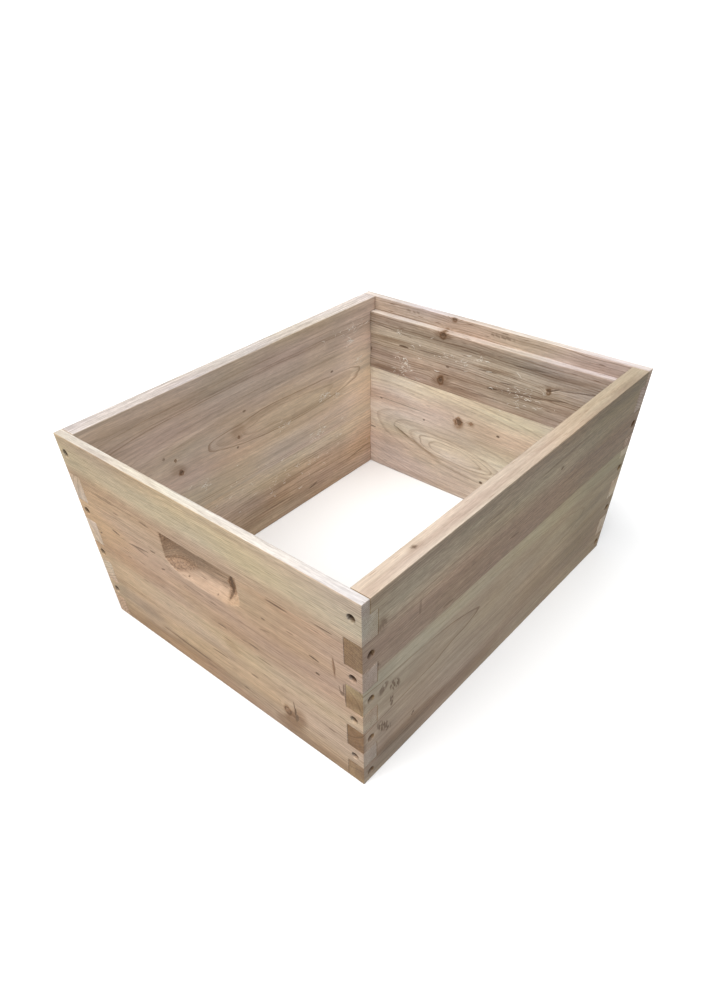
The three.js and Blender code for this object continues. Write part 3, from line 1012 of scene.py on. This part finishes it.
def bold_line(tree, distance, strength, cloud):
    """One ring that stands out: a dark line with a sharp outer edge and a soft inner one."""
    past = tree.less(tree.attribute("ring"), distance)
    past = tree.math("DIVIDE", past, tree.fade(tree.attribute("lean"), 0.0, 1.0, 0.35, 1.0))
    rise = tree.fade(past, -1.5, -0.15)
    fall = tree.fade(past, -0.15, 0.35, 1.0, 0.0)
    share = tree.fade(cloud, 0.25, 0.55, 0.5 * strength, strength)
    return tree.times(tree.times(rise, fall), share)


def wood_material(name, along, look):
    """Bare planed wood: bands, growth rings, streaks, fibres, flecks, knots, brown marks and end grain,
    with painted light and shade: broad patches, the hand hold, the screws' holes and the upward edges.
    """
    tree = Tree(name)
    tone = tree.attribute("tone")
    hue = tree.attribute("hue")
    broad = tree.noise(along, (260, 9), 3.0, 0.55)
    streak = tree.noise(along, (70, 1.7), 4.0, 0.62)
    fibre = tree.noise(along, (14, 0.34), 3.0, 0.6)
    grain = tree.noise(along, (11, 1.1), 3.0, 0.65, 0.4)
    cloud = tree.noise(along, (60, 24), 2.0)
    pore = tree.fade(tree.noise(along, (20, 0.26), 2.0, 0.6), 0.56, 0.70)
    warmth = 0.075 * look.get("warmth", 1.0)
    upward = tree.times(tree.fade(tree.normal_part(2), 0.72, 0.95), tree.attribute("sawn"))
    lines = growth_lines(tree, look["gap"], look["even"])
    lines = tree.times(lines, tree.fade(cloud, 0.3, 0.6, 0.45, look["line"]))
    for distance, strength in look["bold"]:
        lines = tree.math("MAXIMUM", lines, bold_line(tree, distance, strength, cloud))
    lines = tree.times(lines, tree.fade(upward, 0.0, 1.0, 1.0, 0.22 / look["line"]))
    across = tree.math("ABSOLUTE", tree.normal_part(along))
    lines = tree.math("MINIMUM", lines, tree.fade(across, 0.35, 0.8, 1.5, 0.3))

    tone = tree.plus(tone, tree.fade(broad, 0.25, 0.75, -0.30, 0.30))
    contrast = tree.fade(upward, 0.0, 1.0, look.get("grain", 1.0), look.get("edge", 1.0))
    tone = tree.plus(tone, tree.times(tree.fade(streak, 0.25, 0.75, -0.32, 0.32), contrast))
    colour = tree.mix(tone, look["dark"], look["pale"])
    tint = tree.mix(hue, (1.04, 0.982, 0.985), (0.96, 1.023, 0.985))
    colour = tree.tinted(colour, tint)
    patch = tree.noise(along, (150, 52), 1.5, 0.5)
    warm = tree.mix(tree.fade(patch, 0.3, 0.7), (0.985, 1.0, 1 + warmth), (1.015, 0.995, 1 - warmth))
    colour = tree.tinted(colour, warm)
    # Broad shades: partly the wood's tone, partly painted light and shade.
    colour = tree.scaled(colour, tree.plus(tree.attribute("shade"), 1.0))
    colour = tree.tinted(colour, (0.50, 0.40, 0.32), lines)
    crumb = tree.noise(along, (2.6, 1.3), 3.0, 0.7)
    crumbs = tree.times(tree.fade(crumb, 0.35, 0.65, -0.30, 0.24), tree.attribute("torn"))
    colour = tree.scaled(colour, tree.plus(crumbs, 1.0))
    flat = tree.fade(across, 0.08, 0.4, 1.0, 0.1)
    fleck = tree.times(small_flecks(tree, along), flat)
    colour = tree.mix(tree.times(fleck, look["flecked"]), colour, (0.17, 0.10, 0.06))
    colour = tree.scaled(colour, tree.fade(fibre, 0.2, 0.8, 0.90, 1.09))
    colour = tree.scaled(colour, tree.fade(pore, 0.0, 1.0, 1.015, 0.87))
    ripple = tree.times(tree.fade(grain, 0.2, 0.8, -0.175, 0.175), contrast)
    colour = tree.scaled(colour, tree.plus(ripple, 1.0))
    if "far" in look:
        colour = tree.tinted(colour, look["far"], tree.far_share(along))

    # Brown marks in the wood, and in the hand hold the painted shade of its recess.
    stain = tree.times(tree.attribute("stain"), tree.fade(streak, 0.3, 0.7, 0.7, 1.0))
    colour = tree.tinted(colour, (0.49, 0.38, 0.28), stain)
    colour = end_grain(tree, colour, along, across, look, lines)
    # Painted shade inside the screws' holes, darker further in.
    colour = tree.tinted(colour, (0.27, 0.20, 0.15), tree.attribute("bore"))
    # Upward edges paler: partly freshly cut wood, partly painted light from above; on the right planks
    # this also takes off the painted shade of their sides.
    colour = tree.tinted(colour, look["rim"], upward)
    colour = knot_colour(tree, colour)
    mark = tree.times(tree.attribute("mark"), tree.fade(fibre, 0.25, 0.6, 0.75, 1.0))
    colour = tree.mix(tree.times(mark, 0.94), colour, (0.115, 0.068, 0.038))
    tree.feed("Base Color", colour)

    rough = tree.fade(streak, 0.3, 0.7, 0.60, 0.76)
    rough = tree.plus(rough, tree.times(lines, -0.10))
    tree.feed("Roughness", rough)
    tree.feed("Specular IOR Level", 0.32)
    coarse = tree.bump(tree.less(streak, tree.times(lines, 0.5)), 0.10 * MM)
    pores = tree.less(fibre, tree.math("MAXIMUM", pore, tree.times(fleck, 0.8)))
    tree.feed("Normal", tree.bump(pores, 0.06 * MM, 0.9, coarse))
    return tree.material


def small_flecks(tree, along):
    """Short dark resin streaks, a few of the cells of a long thin pattern."""
    where = tree.place(along, (26, 2.1))
    cells = tree.node("TexVoronoi", {"Vector": where, "Scale": 1.0, "Randomness": 1.0})
    near = tree.fade(cells.outputs["Distance"], 0.08, 0.30, 1.0, 0.0)
    pick = tree.node("SeparateColor", {0: cells.outputs["Color"]}).outputs[0]
    return tree.times(near, tree.fade(pick, 0.80, 0.86))


def end_grain(tree, colour, along, across, look, lines):
    """Cut across, the wood soaks up light and shows pores, and its rings stand out."""
    share = tree.times(tree.fade(across, 0.35, 0.8), tree.attribute("tip"))
    pores = tree.noise(along, (1.2, 0.5), 2.0, 0.7)
    level = tree.fade(pores, 0.3, 0.7, 0.82, 1.14)
    level = tree.times(level, tree.fade(lines, 0.0, 0.5, 1.03, 0.80))
    cut = tree.tinted(tree.scaled(colour, level), look["cut"])
    return tree.mix(share, colour, cut)


def knot_colour(tree, colour):
    """A knot: a brown halo, a broken dark rim and a heart with rings of its own."""
    knot = tree.attribute("knot")
    halo = tree.times(tree.fade(knot, 0.0, 0.5), tree.fade(knot, 0.52, 0.62, 1.0, 0.45))
    colour = tree.tinted(colour, (0.62, 0.48, 0.36), halo)
    patchy = tree.noise(0, (1.9, 1.9), 3.0, 0.6)
    rise = tree.fade(knot, 0.42, 0.49)
    rim = tree.times(rise, tree.fade(knot, 0.51, 0.58, 1.0, 0.0))
    rim = tree.times(rim, tree.fade(patchy, 0.38, 0.56, 0.25, 0.95))
    colour = tree.mix(rim, colour, (0.12, 0.07, 0.038))
    ripple = tree.fade(tree.math("SINE", tree.times(knot, 40.0)), -1.0, 1.0, 0.0, 0.5)
    heart = tree.times(tree.fade(knot, 0.55, 0.62), ripple)
    return tree.tinted(colour, (0.50, 0.36, 0.27), heart)


def zinc_material():
    """Dull yellow zinc on steel, a little blotched, with wood dust in some of the blotches."""
    tree = Tree("screw_metal")
    blotch = tree.noise(0, (1.1, 1.1), 4.0, 0.65)
    grit = tree.noise(0, (0.25, 0.25), 2.0)
    colour = tree.mix(tree.fade(blotch, 0.3, 0.7), (0.30, 0.23, 0.14), (0.42, 0.35, 0.24))
    dusty = tree.fade(blotch, 0.52, 0.74)
    colour = tree.mix(tree.times(dusty, 0.6), colour, (0.55, 0.43, 0.30))
    tree.feed("Base Color", colour)
    tree.feed("Metallic", tree.fade(dusty, 0.0, 1.0, 1.0, 0.55))
    tree.feed("Roughness", tree.fade(blotch, 0.3, 0.75, 0.40, 0.65))
    tree.feed("Normal", tree.bump(grit, 0.02 * MM, 0.8))
    return tree.material


def splinter_material():
    """Torn wood fibre, near white."""
    tree = Tree("torn_fibre")
    streak = tree.noise(1, (3, 0.3), 2.0)
    tree.feed("Base Color", tree.mix(streak, (0.80, 0.72, 0.60), (0.95, 0.92, 0.86)))
    tree.feed("Roughness", tree.fade(streak, 0.2, 0.8, 0.75, 0.92))
    tree.feed("Normal", tree.bump(streak, 0.05 * MM))
    return tree.material


def floor_material():
    tree = Tree("pale_floor")
    cloud = tree.noise(0, (900, 900), 2.0)
    tree.feed("Base Color", tree.mix(cloud, (0.93, 0.93, 0.93), (0.95, 0.95, 0.95)))
    tree.feed("Roughness", 0.9)
    tree.feed("Specular IOR Level", 0.0)
    return tree.material


# --- Screws -------------------------------------------------------------------------------------

SCREW_SIDES = 24
HEAD_RADIUS = 3.9
HEAD_RIM = 0.5
HEAD_HEIGHT = 2.9
SHANK = 1.5
THREAD = 2.0
THREAD_PITCH = 2.4
SCREW_LENGTH = 42
TIP = 5
THREAD_STEP = 0.4
BEVEL = 0.12
SCREW_ANGLE = math.radians(40)


def screw_radius(depth, turn):
    """The screw's radius in millimetres, so far below the top of its head, at a share of a turn."""
    if depth < HEAD_RIM:
        return HEAD_RADIUS
    if depth < HEAD_HEIGHT:
        return HEAD_RADIUS + (SHANK - HEAD_RADIUS) * (depth - HEAD_RIM) / (HEAD_HEIGHT - HEAD_RIM)
    phase = (depth / THREAD_PITCH - turn) % 1
    ridge = max(0, 1 - abs(phase - 0.5) / 0.2)
    taper = min(1, max(0.03, (SCREW_LENGTH - depth) / TIP))
    start = min(1, (depth - HEAD_HEIGHT) / 2)
    return (SHANK + (THREAD - SHANK) * ridge * start) * taper


def ring_of(made, depth, radii):
    """Points round the Z axis at these radii, so far down."""
    row = []
    for n, radius in enumerate(radii):
        angle = 2 * math.pi * (n / SCREW_SIDES)
        row.append(made.verts.new((radius * math.cos(angle), radius * math.sin(angle), -depth)))
    return row


def skin(made, rows):
    """Quads between each row of points and the next, all the way round."""
    for first, second in zip(rows, rows[1:]):
        for n in range(len(first)):
            following = (n + 1) % len(first)
            made.faces.new((first[n], first[following], second[following], second[n]))


def screw_mesh():
    """A countersunk screw along -Z with a helical thread and a cross recess in its head."""
    depths = [0, BEVEL, HEAD_RIM]
    depths += [HEAD_RIM + (HEAD_HEIGHT - HEAD_RIM) * n / 4 for n in range(1, 5)]
    depths += list(np.arange(HEAD_HEIGHT + THREAD_STEP, SCREW_LENGTH, THREAD_STEP))
    made = bmesh.new()
    rows = []
    for level, depth in enumerate(depths):
        bevel = BEVEL if level == 0 else 0
        radii = [screw_radius(depth, n / SCREW_SIDES) - bevel for n in range(SCREW_SIDES)]
        rows.append(ring_of(made, depth, radii))
    for upper, lower in zip(rows, rows[1:]):
        for n in range(SCREW_SIDES):
            following = (n + 1) % SCREW_SIDES
            made.faces.new((upper[n], lower[n], lower[following], upper[following]))
    made.faces.new(rows[0])
    made.faces.new(reversed(rows[-1]))
    recess_head(made, rows[0])
    made.transform(Matrix.Scale(MM, 4))
    mesh = mesh_from(made, "screw")
    mesh.shade_smooth()
    mesh.set_sharp_from_angle(angle=SCREW_ANGLE)
    return mesh


def recess_head(made, rim):
    """Replaces the head's flat by a star-shaped outline that narrows down to the recess's floor."""
    top = next(face for face in made.faces if set(face.verts) == set(rim))
    made.faces.remove(top)
    rows = [rim]
    wings = [abs(math.cos(4 * math.pi * n / SCREW_SIDES)) ** 5 for n in range(SCREW_SIDES)]
    for depth, reach, waist in ((0, 2.5, 0.62), (0.15, 2.25, 0.5), (1.7, 0.9, 0.36)):
        rows.append(ring_of(made, depth, [waist + (reach - waist) * wing for wing in wings]))
    skin(made, rows)
    made.faces.new(rows[-1])


def add_screws(board, mesh):
    """One screw for each of the board's CAD screws, each turned its own way."""
    rng = random.Random(board.name)
    for name in sorted(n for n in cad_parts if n.startswith(f"screw_{board.name}_")):
        low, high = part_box(name)
        place = (low + high) / 2
        place[board.across] = (high if board.side > 0 else low)[board.across]
        outward = Vector((0, 0, 0))
        outward[board.across] = board.side
        turn = Matrix.Rotation(rng.uniform(0, math.pi), 4, "Z")
        aim = outward.to_track_quat("Z", "Y").to_matrix().to_4x4()
        piece = linked(name.replace("screw", "wood_screw"), mesh)
        piece.matrix_world = Matrix.Translation(place) @ aim @ turn
        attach(piece, "root")
        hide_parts(name)


# --- Torn fibres --------------------------------------------------------------------------------

# Loose clusters of slivers: the middle's place along and up, the spread along and up, and how many.
LEFT_FIBRES = [(134, 146, 6, 2, 22), (156, 137, 6, 3, 14), (113, 96, 7, 5, 24), (187, 202, 6, 2, 16),
    (-96, 115, 3, 5, 12), (175, 218, 26, 4, 22), (50, 136, 9, 3, 10), (90, 60, 60, 9, 24),
    (206, 170, 7, 3, 9), (40, 96, 100, 24, 26), (20, 60, 14, 6, 12)]
BACK_FIBRES = [(-125, 168, 9, 10, 44), (-133, 213, 2, 3, 6), (-6, 206, 7, 2, 14),
    (60, 178, 22, 10, 40), (-55, 200, 36, 7, 22)]
FIBRE_STEPS = 7


def add_fibre(made, board, along, height, rng):
    """One short curled sliver that clings to a board's inner face, if it lands there."""
    length = rng.uniform(2.5, 10)
    heading = rng.gauss(0, 0.7)
    curl = rng.gauss(0, 0.9)
    width = rng.uniform(0.3, 0.95)
    if abs(along) + length / 2 > CAD_HIGH[board.along] / MM - THICKNESS:
        return
    rows = []
    for n in range(FIBRE_STEPS + 1):
        part = n / FIBRE_STEPS
        bend = heading + curl * part
        run = length * (part - 0.5)
        right = along + run * math.cos(bend)
        up = height + run * math.sin(bend)
        lift = 0.08 + 0.5 * max(0, part - 0.6) ** 2 * length / 3
        half = width / 2 * math.sin(math.pi * (0.08 + 0.84 * part))
        row = []
        for offset, out in ((-half, 0), (0, 0.09), (half, 0), (0, -0.05)):
            point = [0, 0, up + offset]
            point[board.along] = right
            point[board.across] = board.outer - board.side * (THICKNESS + lift + out)
            row.append(made.verts.new(Vector(point) * MM))
        rows.append(row)
    skin(made, rows)
    made.faces.new(reversed(rows[0]))
    made.faces.new(rows[-1])


def add_fibres(board, clusters, material):
    """All the slivers of one board, as one piece."""
    rng = random.Random(7)
    made = bmesh.new()
    for along, height, spread, rise, count in clusters:
        for _ in range(count):
            add_fibre(made, board, rng.gauss(along, spread), rng.gauss(height, rise), rng)
    bmesh.ops.recalc_face_normals(made, faces=made.faces)
    mesh = mesh_from(made, f"torn_fibres_{board.name}")
    mesh.shade_smooth()
    piece = linked(mesh.name, mesh)
    mesh.materials.append(material)
    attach(piece, "root")


# --- Stage --------------------------------------------------------------------------------------

FLOOR_RADIUS = 60
FLOOR_GAP = 0.0004
WORLD_LIGHT = 0.36


def way_from(azimuth, elevation):
    """The direction in which something stands that is seen from the box at these angles in degrees."""
    turn, rise = math.radians(azimuth), math.radians(elevation)
    flat = math.cos(rise)
    return Vector((math.sin(turn) * flat, -math.cos(turn) * flat, math.sin(rise)))


def add_camera():
    data = bpy.data.cameras.new("camera")
    data.sensor_width = 36
    data.lens = LENS
    data.shift_x, data.shift_y = SHIFT
    back = way_from(AZIMUTH, ELEVATION)
    aim = (-back).to_track_quat("-Z", "Y").to_matrix().to_4x4()
    roll = Matrix.Rotation(math.radians(ROLL), 4, "Z")
    camera = linked("camera", data)
    camera.matrix_world = Matrix.Translation(AIM + back * DISTANCE) @ aim @ roll
    bpy.context.scene.camera = camera


def add_floor():
    """A wide round floor just under the box."""
    made = bmesh.new()
    bmesh.ops.create_circle(made, cap_ends=True, segments=96, radius=FLOOR_RADIUS)
    mesh = mesh_from(made, "floor")
    mesh.materials.append(floor_material())
    floor = linked("floor", mesh)
    floor.location.z = CAD_LOW.z - FLOOR_GAP
    return floor


def add_sun(name, azimuth, elevation, strength, spread, colour):
    """A light from this direction, counted as the camera's angles are, softened over spread degrees."""
    data = bpy.data.lights.new(name, "SUN")
    data.energy = strength
    data.angle = math.radians(spread)
    data.color = colour
    light = linked(name, data)
    light.rotation_mode = "QUATERNION"
    light.rotation_quaternion = (-way_from(azimuth, elevation)).to_track_quat("-Z", "Y")


def add_lights():
    world = bpy.data.worlds.new("studio")
    world.use_nodes = True
    background = world.node_tree.nodes["Background"]
    background.inputs["Color"].default_value = (0.96, 0.98, 1.0, 1)
    background.inputs["Strength"].default_value = WORLD_LIGHT
    bpy.context.scene.world = world
    add_sun("key", -24, 54, 2.45, 46, (1.0, 0.985, 0.965))
    add_sun("fill", 78, 58, 1.6, 60, (0.98, 0.99, 1.0))
    add_sun("front", 42, 46, 0.32, 50, (1.0, 1.0, 1.0))


# --- Assembly -----------------------------------------------------------------------------------

def add_planks():
    for board in BOARDS:
        for part in ("upper", "lower"):
            name = f"{board.name}_{part}"
            piece = dense_plank(board, name)
            piece.data.materials.append(wood_material(f"wood_{name}", board.along, LOOKS[name]))
            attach(piece, "root")
            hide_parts(f"{name}_plank")


def main():
    add_camera()
    add_planks()
    screw = screw_mesh()
    screw.materials.append(zinc_material())
    for board in BOARDS:
        add_screws(board, screw)
    splinter = splinter_material()
    _, back, _, left = BOARDS
    add_fibres(left, LEFT_FIBRES, splinter)
    add_fibres(back, BACK_FIBRES, splinter)
    floor = add_floor()
    floor.visible_diffuse = False
    add_lights()
    bpy.context.scene.view_settings.view_transform = "Standard"


main()
